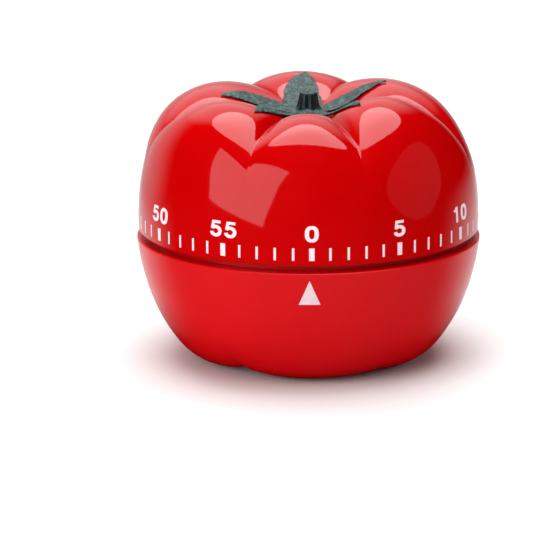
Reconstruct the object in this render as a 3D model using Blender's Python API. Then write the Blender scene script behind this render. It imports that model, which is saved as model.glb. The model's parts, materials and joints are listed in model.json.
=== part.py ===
"""Tomato-shaped clockwork kitchen timer, built as its separate pieces.

All dimensions are millimetres above and around the table point under the dial's centre;
every mesh is scaled to metres when it is made. -Y is the front, +Z is up, and the dial,
its arbor and the whole movement turn about vertical axes.
"""
import bpy
import bmesh
from math import asin, atan2, cos, degrees, hypot, pi, radians, sin
from mathutils import Matrix, Vector

MM = 0.001

# ---------------------------------------------------------------- driving dimensions
BASE_RIM_Z = 22.6               # top of the base's wide rim
DIAL_EDGE_Z = 23.9              # lower edge of the dial, 1.3 above the base's rim
DIAL_EDGE_R = 31.2
DIMPLE_Z = DIAL_EDGE_Z + 20.7   # floor of the dimple that the calyx sits in
WALL = 1.8
FIT_GAP = 0.3                   # between pieces that touch on the real timer
LOBE_STEPS = 8                  # facets across each lobe of the shells

PLATE_R = 20.5                  # movement plates
PLATE_T = 0.8
BOTTOM_PLATE_Z = 16.0
TOP_PLATE_Z = 29.0
ARBOR_R = 0.6
PIVOT_R = 0.4
PIVOT_HOLE_R = 0.6
MAIN_ARBOR_R = 1.6
MAIN_ARBOR_TOP_Z = 41.2

BELL_R = 17.0
BELL_RIM_Z = 5.6
BELL_TOP_Z = 12.9
POST_R = 1.9                    # moulded posts that carry the movement
POST_PCR = 21.6
POST_AZ = (30, 150, 270)
PILLAR_PCR = 18.3
PILLAR_AZ = (118, 232, 345)
COVER_R = 16.5
COVER_SCREW_PCR = 15.0
COVER_SCREW_AZ = (90, 210, 330)

# Azimuths, counted from the front (-Y) towards +X. Each crease has a depth factor, and
# the lobe that follows it has a height above the common crest.
CREASES = ((-148, 0.75, -0.1), (-80, 1.0, 0.2), (-22, 1.0, -1.0), (20, 1.0, 0.9),
           (80, 0.9, 0.3), (157, 0.55, 0.1))
BULGE_POWER = 0.52              # below 1 makes round lobes between sharp creases
CROWN_LEAN = -0.8               # sideways lean of the crown, towards +X

# Radius and height above the dial's edge, from the edge to the dimple, over a lobe and
# in a crease.
DIAL_CREST = ((31.2, 0.0), (31.15, 4.9), (30.7, 9.2), (30.0, 12.7), (28.8, 16.8),
              (26.7, 20.7), (24.0, 23.2), (20.5, 24.8), (17.0, 25.2), (13.5, 24.5),
              (10.0, 22.8), (6.0, 21.2), (2.4, 20.7))
DIAL_CREASE = ((31.2, 0.0), (31.15, 4.9), (30.7, 9.2), (29.9, 12.6), (28.5, 16.2),
               (26.0, 19.1), (22.8, 20.6), (19.0, 21.6), (15.8, 22.0), (12.6, 21.9),
               (9.5, 21.6), (6.0, 21.0), (2.4, 20.7))
# Radius and height of the base's outside, from its rim to its foot ring.
BASE_OUTER = ((31.5, 22.6), (31.1, 19.5), (30.4, 16.3), (29.4, 12.8), (27.8, 8.9),
              (25.4, 4.9), (23.2, 2.2), (20.6, 0.5), (18.2, 0.0))
SEPALS = ((-174, 16.4, 1.35), (118, 15.8, 0.9), (35, 16.4, 0.9), (-33, 17.9, 0.9),
          (-99, 16.0, 1.0))     # azimuth, length, breadth factor

# Gear train.
FIRST_MODULE = 0.375
THIRD_MODULE = 0.3
GREAT_TEETH = 48
SECOND_TEETH = 40
THIRD_TEETH = 48
PINION_TEETH = 8
ESCAPE_TEETH = 15
STRIKE_TEETH = 12
ESCAPE_R = 3.4
STRIKE_R = 4.4
MESH_SLACK = 0.04               # added to each centre distance as running clearance
WHEEL_T = 0.8

# Levels of the wheels between the plates.
GREAT_Z = 17.8
SECOND_Z = 20.0
THIRD_Z = 22.2
ESCAPE_Z = 24.4
CAM_Z = 26.4
CAM_R = 8.0
STOP_R = 6.5                    # radius of the stop pin's circle
STOP_TAB_AZ = 250
STOP_LEAD = 9                   # half of the 18 degrees that the dial cannot turn


def polar(radius, azimuth):
    """Point in the XY plane at an angle counted from +X."""
    return Vector((radius * cos(radians(azimuth)), radius * sin(radians(azimuth))))


def meet(near, far, near_distance, far_distance):
    """Centre that lies at given distances from two others, clockwise of near-to-far."""
    gap = (far - near).length
    along = (near_distance ** 2 - far_distance ** 2 + gap ** 2) / (2 * gap)
    side = (near_distance ** 2 - along ** 2) ** 0.5
    unit = (far - near) / gap
    return near + unit * along + Vector((unit.y, -unit.x)) * side


def centre_distance(module, wheel_teeth, pinion_teeth):
    return module * (wheel_teeth + pinion_teeth) / 2 + MESH_SLACK


CENTRE = Vector((0.0, 0.0))
FIRST_CD = centre_distance(FIRST_MODULE, GREAT_TEETH, PINION_TEETH)
SECOND_CD = centre_distance(FIRST_MODULE, SECOND_TEETH, PINION_TEETH)
THIRD_CD = centre_distance(THIRD_MODULE, THIRD_TEETH, PINION_TEETH)
SECOND_P = polar(FIRST_CD, 90)
THIRD_P = meet(CENTRE, SECOND_P, 11.0, SECOND_CD)
ESCAPE_P = meet(CENTRE, THIRD_P, 12.0, THIRD_CD)
VERGE_P = meet(CENTRE, ESCAPE_P, 12.0, 5.4)
STRIKE_P = polar(FIRST_CD, 250)
HAMMER_P = polar(15.0, 200)
RELEASE_P = polar(13.0, 140)
HAMMER_HEAD_P = polar(BELL_R + 2.6, 240)
HAMMER_HEAD_R = 1.2


# ---------------------------------------------------------------- mesh helpers
def clear_scene():
    for obj in list(bpy.data.objects):
        bpy.data.objects.remove(obj, do_unlink=True)


def material(name, color, roughness, metallic=0.0):
    mat = bpy.data.materials.new(name)
    mat.use_nodes = True
    bsdf = mat.node_tree.nodes["Principled BSDF"]
    bsdf.inputs["Base Color"].default_value = (*color, 1.0)
    bsdf.inputs["Roughness"].default_value = roughness
    bsdf.inputs["Metallic"].default_value = metallic
    mat.diffuse_color = (*color, 1.0)
    return mat


def mesh_object(name, bm, mat, origin=(0, 0, 0)):
    """Turn a bmesh in millimetres into a metre-sized object whose origin is given."""
    bmesh.ops.recalc_face_normals(bm, faces=bm.faces)
    origin = Vector(origin)
    bmesh.ops.translate(bm, verts=bm.verts, vec=-origin)
    bmesh.ops.scale(bm, verts=bm.verts, vec=(MM, MM, MM))
    mesh = bpy.data.meshes.new(name)
    bm.to_mesh(mesh)
    bm.free()
    mesh.shade_smooth()
    mesh.set_sharp_from_angle(angle=radians(35))
    obj = bpy.data.objects.new(name, mesh)
    obj.location = origin * MM
    bpy.context.scene.collection.objects.link(obj)
    if mat:
        mesh.materials.append(mat)
    return obj


def loft(name, rings, mat, origin=(0, 0, 0), closed=False):
    """Skin rings of equal point count; the ends are capped, or joined into a tube."""
    bm = bmesh.new()
    loops = [[bm.verts.new(p) for p in ring] for ring in rings]
    count = len(loops[0])
    pairs = list(zip(loops, loops[1:]))
    if closed:
        pairs.append((loops[-1], loops[0]))
    for low, high in pairs:
        for i in range(count):
            j = (i + 1) % count
            bm.faces.new((low[i], low[j], high[j], high[i]))
    if not closed:
        bm.faces.new(loops[0])
        bm.faces.new(loops[-1])
    return mesh_object(name, bm, mat, origin)


def circle(radius, z, sides, centre=CENTRE, squash_x=None):
    """Ring of points; squash_x cuts two flats, as on a double-D shaft."""
    ring = []
    for i in range(sides):
        angle = 2 * pi * i / sides
        x, y = radius * cos(angle), radius * sin(angle)
        if squash_x:
            x = max(-squash_x, min(squash_x, x))
        ring.append((centre.x + x, centre.y + y, z))
    return ring


def turned(name, profile, mat, centre=CENTRE, sides=16, closed=False):
    """Body of revolution about a vertical line; profile holds (radius, z) points."""
    rings = [circle(r, z, sides, centre) for r, z in profile]
    return loft(name, rings, mat, (centre.x, centre.y, 0), closed)


def prism(name, outline, z_low, z_high, mat, centre=CENTRE):
    rings = [[(p[0], p[1], z) for p in outline] for z in (z_low, z_high)]
    return loft(name, rings, mat, (centre.x, centre.y, 0))


def boolean(target, tool, operation):
    """Apply one exact Boolean and leave the tool as a hidden helper."""
    modifier = target.modifiers.new(operation.title(), "BOOLEAN")
    modifier.object = tool
    modifier.operation = operation
    modifier.solver = "EXACT"
    tool.hide_render = True
    tool.display_type = "WIRE"
    return modifier


def drill(target, centre, radius, z_low, z_high, sides=12):
    tool = turned(f"{target.name}_cut", [(radius, z_low), (radius, z_high)], None,
                  centre, sides)
    boolean(target, tool, "DIFFERENCE")


def strip_outline(points, half_width):
    """Outline of a flat lever that follows a line of points."""
    left, right = [], []
    for i, point in enumerate(points):
        before = points[max(i - 1, 0)]
        after = points[min(i + 1, len(points) - 1)]
        along = (Vector(after) - Vector(before)).normalized()
        side = Vector((-along.y, along.x)) * half_width
        left.append(Vector(point) + side)
        right.append(Vector(point) - side)
    return left + right[::-1]


# ---------------------------------------------------------------- lobed tomato surface
def shell_azimuths():
    """Azimuths of the shells' facets, with one on every crease."""
    starts = [crease[0] for crease in CREASES]
    ends = starts[1:] + [starts[0] + 360]
    return [start + (end - start) * k / LOBE_STEPS
            for start, end in zip(starts, ends) for k in range(LOBE_STEPS)]


SHELL_AZ = shell_azimuths()


def front_ring(radius, z, azimuths=SHELL_AZ):
    """Plain ring whose points lie at azimuths counted from the front."""
    return [(radius * sin(radians(a)), -radius * cos(radians(a)), z) for a in azimuths]


def lobe_at(azimuth):
    """Bulge (0 in a crease, 1 on a lobe), crease depth and lobe height at an azimuth."""
    starts = [crease[0] for crease in CREASES]
    azimuth = (azimuth - starts[0]) % 360 + starts[0]
    k = max(i for i, start in enumerate(starts) if azimuth >= start)
    start, depth, height = CREASES[k]
    end = starts[k + 1] if k + 1 < len(starts) else starts[0] + 360
    next_depth = CREASES[(k + 1) % len(CREASES)][1]
    share = (azimuth - start) / (end - start)
    bulge = sin(pi * share) ** BULGE_POWER
    return bulge, depth + (next_depth - depth) * share, height


def offset_profile(profile, distance):
    """Profile moved square to itself, towards the inside of the shell."""
    moved = []
    for i, (r, z) in enumerate(profile):
        r0, z0 = profile[max(i - 1, 0)]
        r1, z1 = profile[min(i + 1, len(profile) - 1)]
        length = hypot(r1 - r0, z1 - z0)
        moved.append((r - distance * (z1 - z0) / length, z + distance * (r1 - r0) / length))
    return moved


def surface_point(crest, crease, share, azimuth):
    """Radius and height of the dial at an azimuth, between a crease and a crest point."""
    bulge, depth, height = lobe_at(azimuth)
    keep = 1 - depth * (1 - bulge)
    r = crease[0] + (crest[0] - crease[0]) * keep
    z = crease[1] + (crest[1] - crease[1]) * keep + height * share * bulge
    return r + CROWN_LEAN * share * sin(radians(azimuth)), DIAL_EDGE_Z + z


def lobed_ring(crest, crease, share):
    ring = []
    for azimuth in SHELL_AZ:
        r, z = surface_point(crest, crease, share, azimuth)
        ring.append((r * sin(radians(azimuth)), -r * cos(radians(azimuth)), z))
    return ring


def crown_shares():
    """How far each profile point follows the crown's own shape: fully at the top."""
    low, high = DIAL_CREST[3][1], max(z for r, z in DIAL_CREST)
    shares = []
    for r, z in DIAL_CREST:
        rise = max(0.0, (z - low) / (high - low))
        shares.append(rise ** 0.6 * min(1.0, max(0.0, (r - 6) / 10)))
    return shares


def dial_height(x, y):
    """Height of the dial's outer surface above a point near its middle."""
    radius, azimuth = hypot(x, y), degrees(atan2(x, -y))
    last_r, last_z = 0.0, DIMPLE_Z
    rows = list(zip(DIAL_CREST, DIAL_CREASE, crown_shares()))
    for crest, crease, share in reversed(rows):
        r, z = surface_point(crest, crease, share, azimuth)
        if r >= radius:
            return last_z + (z - last_z) * (radius - last_r) / (r - last_r)
        last_r, last_z = r, z
    return last_z


# ---------------------------------------------------------------- outer shells
def build_dial_shell(mat):
    """Dome with lobes outside and in, and a central boss with the arbor's socket."""
    shares = crown_shares()
    rings = [lobed_ring(*row) for row in zip(DIAL_CREST, DIAL_CREASE, shares)]
    boss_r, socket_r, peg_hole_r = 4.2, 1.9, 1.7
    boss_z, socket_top_z = 37.6, MAIN_ARBOR_TOP_Z + 0.4
    core = ((peg_hole_r, DIMPLE_Z), (peg_hole_r, socket_top_z), (socket_r, socket_top_z),
            (socket_r, boss_z), (boss_r, boss_z), (boss_r, DIMPLE_Z - WALL))
    rings += [front_ring(r, z) for r, z in core]
    crest_in = offset_profile(DIAL_CREST, WALL)
    crease_in = offset_profile(DIAL_CREASE, WALL)
    inner = list(zip(crest_in, crease_in, shares))[1:-2:2]
    rings += [lobed_ring(*row) for row in reversed(inner)]
    rings.append(front_ring(DIAL_EDGE_R - WALL, DIAL_EDGE_Z))
    return loft("dial_shell", rings, mat, closed=True)


def build_base_shell(mat):
    """Bowl with a foot ring, a seat for the cover, a collar inside the dial and posts."""
    ledge_r, ledge_z, floor_top_z = 13.4, 2.4, 4.4
    collar_out_r, collar_in_r, collar_top_z = 29.0, 27.5, 26.4
    seat_r = COVER_R + FIT_GAP
    inner = offset_profile(BASE_OUTER, -WALL)[1:6]
    profile = list(BASE_OUTER)
    profile += [(seat_r, 0.0), (seat_r, ledge_z), (ledge_r, ledge_z), (ledge_r, floor_top_z)]
    profile += [(21.4, floor_top_z)] + inner[::-1]
    profile += [(collar_in_r, BASE_RIM_Z - WALL), (collar_in_r, collar_top_z),
                (collar_out_r, collar_top_z), (collar_out_r, BASE_RIM_Z)]
    rings = [front_ring(r, z) for r, z in profile]
    shell = loft("base_shell", rings, mat, closed=True)
    post_top = BOTTOM_PLATE_Z - FIT_GAP
    for azimuth in POST_AZ:
        centre = polar(POST_PCR, azimuth)
        post = turned("base_post", [(POST_R, floor_top_z - 0.2), (POST_R, post_top)], None,
                      centre, 16)
        boolean(shell, post, "UNION")
        drill(shell, centre, 1.0, 11.0, post_top + 1)
    for azimuth in COVER_SCREW_AZ:
        drill(shell, polar(COVER_SCREW_PCR, azimuth), 1.0, ledge_z - 1, 3.9)
    return shell


def build_bottom_cover(mat):
    """Disc in the underside with sound slots and screw holes."""
    low, high = 0.7, 2.1
    cover = turned("bottom_cover", [(COVER_R, low), (COVER_R, high)], mat, sides=48)
    slot_half_width, slot_pitch = 0.9, 4.2
    for k in (-2, -1, 0, 1, 2):
        half_length = 9.0 - 1.6 * abs(k)
        y = slot_pitch * k
        outline = strip_outline([(-half_length, y), (half_length, y)], slot_half_width)
        boolean(cover, prism("slot_cut", outline, low - 1, high + 1, None), "DIFFERENCE")
    for azimuth in COVER_SCREW_AZ:
        drill(cover, polar(COVER_SCREW_PCR, azimuth), 1.0, low - 1, high + 1)
    return cover


def build_calyx(mat):
    """Five sepals that lie over the lobes, a stubby stem and a peg through the dial."""
    gap, thickness = 0.6, 0.8
    stem_r, stem_top_z, peg_r = 1.9, DIMPLE_Z + 4.2, 1.3
    azimuths = [7.2 * i for i in range(50)]

    def reach(azimuth):
        """Outline radius of the star of sepals at an azimuth."""
        best = 3.2
        for centre, length, breadth in SEPALS:
            away = abs((azimuth - centre + 180) % 360 - 180) / (36 * breadth)
            if away < 1:
                best = max(best, 3.2 + (length - 3.2) * (1 - away) ** 2)
        return best

    def ring(share, lift):
        points = []
        for azimuth in azimuths:
            r = stem_r + (reach(azimuth) - stem_r) * share
            x, y = r * sin(radians(azimuth)), -r * cos(radians(azimuth))
            points.append((x, y, dial_height(x, y) + lift))
        return points

    shares = (0.0, 0.3, 0.65, 1.0)
    peg = [front_ring(peg_r, z, azimuths) for z in (DIMPLE_Z - 2.4, DIMPLE_Z + gap)]
    underside = [ring(share, gap) for share in shares]
    upper = [ring(share, gap + thickness) for share in reversed(shares)]
    stem = [front_ring(stem_r * 0.85, stem_top_z, azimuths)]
    return loft("calyx", peg + underside + upper + stem, mat)


# ---------------------------------------------------------------- fasteners
def screw(name, centre, tip_z, seat_z, shank_r, head_r, head_t, mat):
    """Cheese-head screw; the head lies below the seat when the tip is above it."""
    way = 1 if tip_z > seat_z else -1
    top = seat_z - way * head_t
    profile = [(shank_r * 0.6, tip_z), (shank_r, tip_z - way * 0.4), (shank_r, seat_z),
               (head_r, seat_z), (head_r, top + way * 0.3), (head_r * 0.8, top)]
    body = turned(name, profile, mat, centre, 10)
    slot = [(centre.x + sx * 3, centre.y + sy * 0.2) for sx, sy in
            ((-1, -1), (1, -1), (1, 1), (-1, 1))]
    deep = sorted((top - way, top + way * head_t * 0.4))
    boolean(body, prism("screw_slot_cut", slot, *deep, None, centre), "DIFFERENCE")
    return body


# ---------------------------------------------------------------- gears
def tooth_ring(teeth, root_r, tip_r, root_share, tip_share, phase):
    """Gear outline; the shares are the tooth's widths over the pitch at root and tip."""
    ring = []
    for k in range(teeth):
        middle = phase + 2 * pi * k / teeth
        pitch = 2 * pi / teeth
        for r, share in ((root_r, -root_share), (tip_r, -tip_share),
                         (tip_r, tip_share), (root_r, root_share)):
            angle = middle + pitch * share / 2
            ring.append((r * cos(angle), r * sin(angle)))
    return ring


def wheel(name, module, teeth, centre, z, bore_r, mat, phase=0.0, windows=4):
    """Flat gear wheel with crossed-out windows."""
    pitch_r = module * teeth / 2
    flat = tooth_ring(teeth, pitch_r - 1.2 * module, pitch_r + 0.95 * module, 0.56, 0.2,
                      phase)
    outline = [(centre.x + x, centre.y + y) for x, y in flat]
    body = prism(name, outline, z, z + WHEEL_T, mat, centre)
    drill(body, centre, bore_r, z - 1, z + WHEEL_T + 1, 16)
    cut_windows(body, centre, z, bore_r + 1.3, pitch_r - 1.2 * module - 1.0, windows)
    return body


def cut_windows(body, centre, z, inner_r, outer_r, windows):
    """Cut equal sector windows between two radii, leaving spokes."""
    spoke = 1.0
    for k in range(windows):
        middle = 2 * pi * (k + 0.5) / windows
        outline = []
        for r, ends in ((outer_r, (-1, -0.33, 0.33, 1)), (inner_r, (1, 0, -1))):
            half = pi / windows - asin(min(0.9, spoke / 2 / r)) - 0.02
            outline += [(centre.x + r * cos(middle + half * e),
                         centre.y + r * sin(middle + half * e)) for e in ends]
        cut = prism("window_cut", outline, z - 1, z + WHEEL_T + 1, None, centre)
        boolean(body, cut, "DIFFERENCE")


def pinion_arbor(name, module, centre, pinion_z, mat, phase, teeth=PINION_TEETH):
    """Arbor with its pinion leaves cut on it and a pivot at each end."""
    pitch_r = module * teeth / 2
    leaves = tooth_ring(teeth, pitch_r - 1.15 * module, pitch_r + 0.8 * module, 0.5, 0.12,
                        phase)
    angles = [atan2(y, x) for x, y in leaves]

    def plain(radius, z):
        return [(centre.x + radius * cos(a), centre.y + radius * sin(a), z) for a in angles]

    def leaf(z):
        return [(centre.x + x, centre.y + y, z) for x, y in leaves]

    shoulder_low = BOTTOM_PLATE_Z + PLATE_T + 0.15
    shoulder_high = TOP_PLATE_Z - 0.15
    low, high = pinion_z - 0.4, pinion_z + WHEEL_T + 0.4
    rings = [plain(PIVOT_R, BOTTOM_PLATE_Z + 0.1), plain(PIVOT_R, shoulder_low),
             plain(ARBOR_R, shoulder_low), plain(ARBOR_R, low), leaf(low), leaf(high),
             plain(ARBOR_R, high), plain(ARBOR_R, shoulder_high),
             plain(PIVOT_R, shoulder_high), plain(PIVOT_R, TOP_PLATE_Z + PLATE_T - 0.1)]
    return loft(name, rings, mat, (centre.x, centre.y, 0))


def facing(centre, other):
    return atan2(other.y - centre.y, other.x - centre.x)


def pinion_phase(centre, wheel_centre, wheel_teeth, wheel_phase, teeth=PINION_TEETH):
    """Phase that puts a pinion gap where the wheel's nearest tooth points."""
    toward = facing(wheel_centre, centre)
    wheel_pitch = 2 * pi / wheel_teeth
    offset = (toward - wheel_phase) / wheel_pitch
    part = offset - round(offset)
    pitch = 2 * pi / teeth
    return facing(centre, wheel_centre) + pitch * (0.5 + part)


def star_wheel(name, teeth, tip_r, root_r, centre, z, lean, mat):
    """Pointed wheel, such as an escape wheel, with its teeth leaning one way."""
    outline = []
    for k in range(teeth):
        base = 2 * pi * k / teeth
        pitch = 2 * pi / teeth
        for r, share in ((root_r, 0.0), (tip_r, lean), (tip_r, lean + 0.1)):
            angle = base + pitch * share
            outline.append((centre.x + r * cos(angle), centre.y + r * sin(angle)))
    body = prism(name, outline, z, z + WHEEL_T, mat, centre)
    drill(body, centre, ARBOR_R + 0.15, z - 1, z + WHEEL_T + 1)
    return body


def build_train(brass, steel):
    """Great wheel on the dial's arbor and the train that it drives."""
    bore = ARBOR_R + 0.15
    great_phase, second_phase, third_phase = facing(CENTRE, SECOND_P), 0.0, 0.0
    wheel("great_wheel", FIRST_MODULE, GREAT_TEETH, CENTRE, GREAT_Z, MAIN_ARBOR_R + 0.15,
          brass, great_phase)
    pinion_arbor("second_arbor", FIRST_MODULE, SECOND_P, GREAT_Z, steel,
                 pinion_phase(SECOND_P, CENTRE, GREAT_TEETH, great_phase))
    wheel("second_wheel", FIRST_MODULE, SECOND_TEETH, SECOND_P, SECOND_Z, bore, brass,
          second_phase)
    pinion_arbor("third_arbor", FIRST_MODULE, THIRD_P, SECOND_Z, steel,
                 pinion_phase(THIRD_P, SECOND_P, SECOND_TEETH, second_phase))
    wheel("third_wheel", THIRD_MODULE, THIRD_TEETH, THIRD_P, THIRD_Z, bore, brass,
          third_phase)
    pinion_arbor("escape_arbor", THIRD_MODULE, ESCAPE_P, THIRD_Z, steel,
                 pinion_phase(ESCAPE_P, THIRD_P, THIRD_TEETH, third_phase))
    star_wheel("escape_wheel", ESCAPE_TEETH, ESCAPE_R, 2.3, ESCAPE_P, ESCAPE_Z, 0.55, brass)
    pinion_arbor("strike_arbor", FIRST_MODULE, STRIKE_P, GREAT_Z, steel,
                 pinion_phase(STRIKE_P, CENTRE, GREAT_TEETH, great_phase))
    star_wheel("strike_wheel", STRIKE_TEETH, STRIKE_R, 3.1, STRIKE_P, SECOND_Z, 0.45, brass)


# ---------------------------------------------------------------- dial arbor group
def build_main_arbor(steel, brass):
    """Arbor with its double-D end in the dial's boss, clutch washer, cam and stop pin."""
    seats = [(1.0, BOTTOM_PLATE_Z + 0.1), (1.0, BOTTOM_PLATE_Z + PLATE_T + 0.2),
             (MAIN_ARBOR_R, BOTTOM_PLATE_Z + PLATE_T + 0.2), (MAIN_ARBOR_R, 37.2)]
    rings = [circle(r, z, 20) for r, z in seats]
    rings += [circle(1.5, z, 20, squash_x=1.1) for z in (37.2, MAIN_ARBOR_TOP_Z)]
    loft("main_arbor", rings, steel)

    washer_z, washer_t, wave = GREAT_Z + WHEEL_T + 0.45, 0.3, 0.15
    bounds = ((1.85, 0), (4.4, 0), (4.4, washer_t), (1.85, washer_t))
    rings = []
    for r, lift in bounds:
        rings.append([(x, y, z + lift + wave * cos(2 * atan2(y, x)))
                      for x, y, z in circle(r, washer_z, 24)])
    loft("clutch_washer", rings, steel, closed=True)

    pin_p = polar(STOP_R, STOP_TAB_AZ - STOP_LEAD)
    notch_az = facing(CENTRE, RELEASE_P)
    cam = []
    for i in range(48):
        angle = notch_az + 2 * pi * i / 48
        r = CAM_R - 1.2 if i < 3 else CAM_R
        cam.append((r * cos(angle), r * sin(angle)))
    disc = prism("let_off_cam", cam, CAM_Z, CAM_Z + WHEEL_T, brass)
    drill(disc, CENTRE, MAIN_ARBOR_R + 0.15, CAM_Z - 1, CAM_Z + WHEEL_T + 1, 20)
    drill(disc, pin_p, 0.55, CAM_Z - 1, CAM_Z + WHEEL_T + 1)
    turned("stop_pin", [(0.4, CAM_Z - 0.2), (0.4, CAM_Z + WHEEL_T + 1.2)], steel, pin_p, 10)


def build_mainspring(spring_mat, case_mat):
    """Coiled power spring in its open barrel above the top plate."""
    floor_z = TOP_PLATE_Z + PLATE_T + FIT_GAP
    barrel_r, skin, top_z = 10.5, 0.7, floor_z + 6.0
    profile = [(2.0, floor_z), (barrel_r, floor_z), (barrel_r, top_z),
               (barrel_r - skin, top_z), (barrel_r - skin, floor_z + skin),
               (2.0, floor_z + skin)]
    turned("spring_barrel", profile, case_mat, sides=36, closed=True)
    turns, steps, strip = 4.5, 16, 0.3
    start_r, end_r = 2.1, 9.2
    low, high = floor_z + skin + 0.4, top_z - 0.4
    rings = []
    count = int(turns * steps)
    for i in range(count + 1):
        angle = 2 * pi * i / steps
        r = start_r + (end_r - start_r) * i / count
        rings.append([((r + dr) * cos(angle), (r + dr) * sin(angle), z)
                      for dr, z in ((0, low), (strip, low), (strip, high), (0, high))])
    loft("mainspring", rings, spring_mat)


# ---------------------------------------------------------------- frame of the movement
def build_plates(steel):
    """Bottom plate with mounting ears and top plate with the dial's stop tab."""
    ear_r, ear_half = 24.0, 5.5
    outline = []
    for i in range(72):
        azimuth = 360 * i / 72
        away = min(abs((azimuth - ear + 180) % 360 - 180) for ear in POST_AZ)
        outline.append(polar(ear_r if away < ear_half else PLATE_R, azimuth))
    bottom = prism("bottom_plate", outline, BOTTOM_PLATE_Z, BOTTOM_PLATE_Z + PLATE_T, steel)
    rim = [polar(PLATE_R, 360 * i / 60) for i in range(60)]
    top = prism("top_plate", rim, TOP_PLATE_Z, TOP_PLATE_Z + PLATE_T, steel)
    tab_p = polar(STOP_R, STOP_TAB_AZ)
    along = tab_p.normalized()
    across = Vector((-along.y, along.x))
    tab = [tab_p + along * a + across * b for a, b in
           ((-0.5, -0.4), (0.5, -0.4), (0.5, 0.4), (-0.5, 0.4))]
    boolean(top, prism("stop_tab", tab, TOP_PLATE_Z - 1.4, TOP_PLATE_Z + 0.4, None), "UNION")

    for plate, z in ((bottom, BOTTOM_PLATE_Z), (top, TOP_PLATE_Z)):
        span = (z - 1, z + PLATE_T + 1)
        for centre in (SECOND_P, THIRD_P, ESCAPE_P, STRIKE_P, RELEASE_P):
            drill(plate, centre, PIVOT_HOLE_R, *span, 10)
        for azimuth in PILLAR_AZ:
            drill(plate, polar(PILLAR_PCR, azimuth), 0.9, *span)
    drill(bottom, CENTRE, 1.3, BOTTOM_PLATE_Z - 1, BOTTOM_PLATE_Z + 2, 16)
    for centre in (VERGE_P, HAMMER_P):
        drill(bottom, centre, ARBOR_R + 0.25, BOTTOM_PLATE_Z - 1, BOTTOM_PLATE_Z + 2)
        drill(top, centre, PIVOT_HOLE_R, TOP_PLATE_Z - 1, TOP_PLATE_Z + 2, 10)
    for azimuth in POST_AZ:
        drill(bottom, polar(POST_PCR, azimuth), 1.0, BOTTOM_PLATE_Z - 1, BOTTOM_PLATE_Z + 2)
    drill(top, CENTRE, MAIN_ARBOR_R + 0.3, TOP_PLATE_Z - 1, TOP_PLATE_Z + 2, 20)


def build_frame_fasteners(steel, brass):
    """Pillars between the plates, and the screws of pillars, posts and cover."""
    low, high = BOTTOM_PLATE_Z + PLATE_T, TOP_PLATE_Z
    for k, azimuth in enumerate(PILLAR_AZ, 1):
        centre = polar(PILLAR_PCR, azimuth)
        profile = [(0.6, BOTTOM_PLATE_Z - 0.3), (0.6, low + FIT_GAP), (1.4, low + FIT_GAP),
                   (1.4, high - FIT_GAP), (0.9, high - FIT_GAP), (0.9, high - 3.2)]
        turned(f"pillar_{k}", profile, brass, centre, 12)
        screw(f"pillar_screw_{k}", centre, high - 2.9, high + PLATE_T + FIT_GAP, 0.6, 1.4,
              1.0, steel)
    for k, azimuth in enumerate(POST_AZ, 1):
        screw(f"movement_screw_{k}", polar(POST_PCR, azimuth), 11.4, low + FIT_GAP, 0.7,
              1.6, 1.1, steel)
    for k, azimuth in enumerate(COVER_SCREW_AZ, 1):
        screw(f"cover_screw_{k}", polar(COVER_SCREW_PCR, azimuth), 3.6, 0.7 - FIT_GAP + 0.3,
              0.7, 1.35, 0.6, steel)


# ---------------------------------------------------------------- escapement and alarm
def lever_arbor(name, centre, low_z, mat):
    """Arbor that may pass down through the bottom plate, with a pivot on top."""
    profile = [(ARBOR_R, low_z), (ARBOR_R, TOP_PLATE_Z - 0.15),
               (PIVOT_R, TOP_PLATE_Z - 0.15), (PIVOT_R, TOP_PLATE_Z + PLATE_T - 0.1)]
    if low_z > BOTTOM_PLATE_Z:
        profile = [(PIVOT_R, BOTTOM_PLATE_Z + 0.1), (PIVOT_R, low_z)] + profile
    return turned(name, profile, mat, centre, 12)


def lever(name, points, half_width, z, thickness, centre, mat):
    """Flat strip with a round hub on its arbor."""
    body = prism(name, strip_outline(points, half_width), z, z + thickness, mat, centre)
    hub = turned("hub", [(1.5, z), (1.5, z + thickness)], None, centre, 16)
    boolean(body, hub, "UNION")
    drill(body, centre, ARBOR_R + 0.15, z - 1, z + thickness + 1)
    return body


def build_escapement(steel, brass):
    """Pin-pallet lever that beats beside the escape wheel, with its balance bar below."""
    lever_arbor("verge_arbor", VERGE_P, 13.8, steel)
    inward = (VERGE_P - ESCAPE_P).normalized()
    pin_r, pin_circle_r, spread = 0.3, ESCAPE_R + 1.0, 50
    pins = [ESCAPE_P + Matrix.Rotation(radians(a), 2) @ inward * pin_circle_r
            for a in (-spread, spread)]
    body = lever("pallet_lever", [pins[0], VERGE_P, pins[1]], 0.5, ESCAPE_Z + WHEEL_T + 0.3,
                 0.6, VERGE_P, brass)
    for pin in pins:
        tool = turned("pallet_pin", [(pin_r, ESCAPE_Z - 0.3), (pin_r, ESCAPE_Z + 1.4)], None,
                      pin, 8)
        boolean(body, tool, "UNION")
    across = Vector((-inward.y, inward.x)) * 5.5
    lever("balance_bar", [VERGE_P - across, VERGE_P, VERGE_P + across], 0.9, 14.2, 1.0,
          VERGE_P, brass)


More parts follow.
